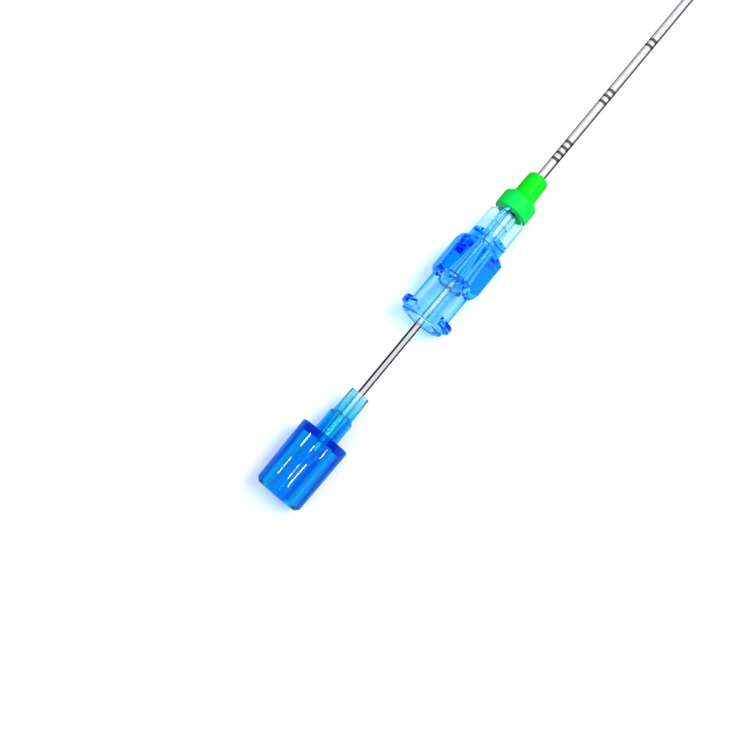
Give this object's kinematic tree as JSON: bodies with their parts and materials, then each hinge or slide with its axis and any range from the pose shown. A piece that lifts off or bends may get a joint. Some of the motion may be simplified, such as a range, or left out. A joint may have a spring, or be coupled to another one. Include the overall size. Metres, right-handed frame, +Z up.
{
  "type": "brachytherapy needle",
  "caption": "Long ringed steel needle in a clear blue hub with a grip, fins, luer-lock lugs and green nose cap, with a wire stylet on its own hub that slides inside it.",
  "frame": {"origin": "on the needle's axis, in the plane of the cannula hub's rear rim", "axes": "+X along the needle towards its tip, +Z up from a flat of the grip, +Y across the other way"},
  "size_m": [0.2497, 0.0078, 0.0072],
  "materials": {
    "needle_steel": "ground and polished, with dark depth rings",
    "wire_steel": "drawn bright",
    "hub_plastic": "clear moulded, tinted blue",
    "stylet_plastic": "clear moulded, tinted deep blue",
    "green_plastic": "opaque moulded, semi-gloss",
    "adhesive": "clear cured resin"
  },
  "bodies": {
    "needle": {"cannula_tube": "needle_steel", "cannula_hub": "hub_plastic", "hub_adhesive": "adhesive", "nose_cap": "green_plastic"},
    "stylet": {"stylet_rod": "wire_steel", "stylet_hub": "stylet_plastic", "stylet_adhesive": "adhesive"}
  },
  "joints": [
    {"name": "stylet_slide", "type": "slide", "parent": "needle", "child": "stylet", "axis": [1, 0, 0], "range_m": [-0.186, 0.0194]}
  ]
}
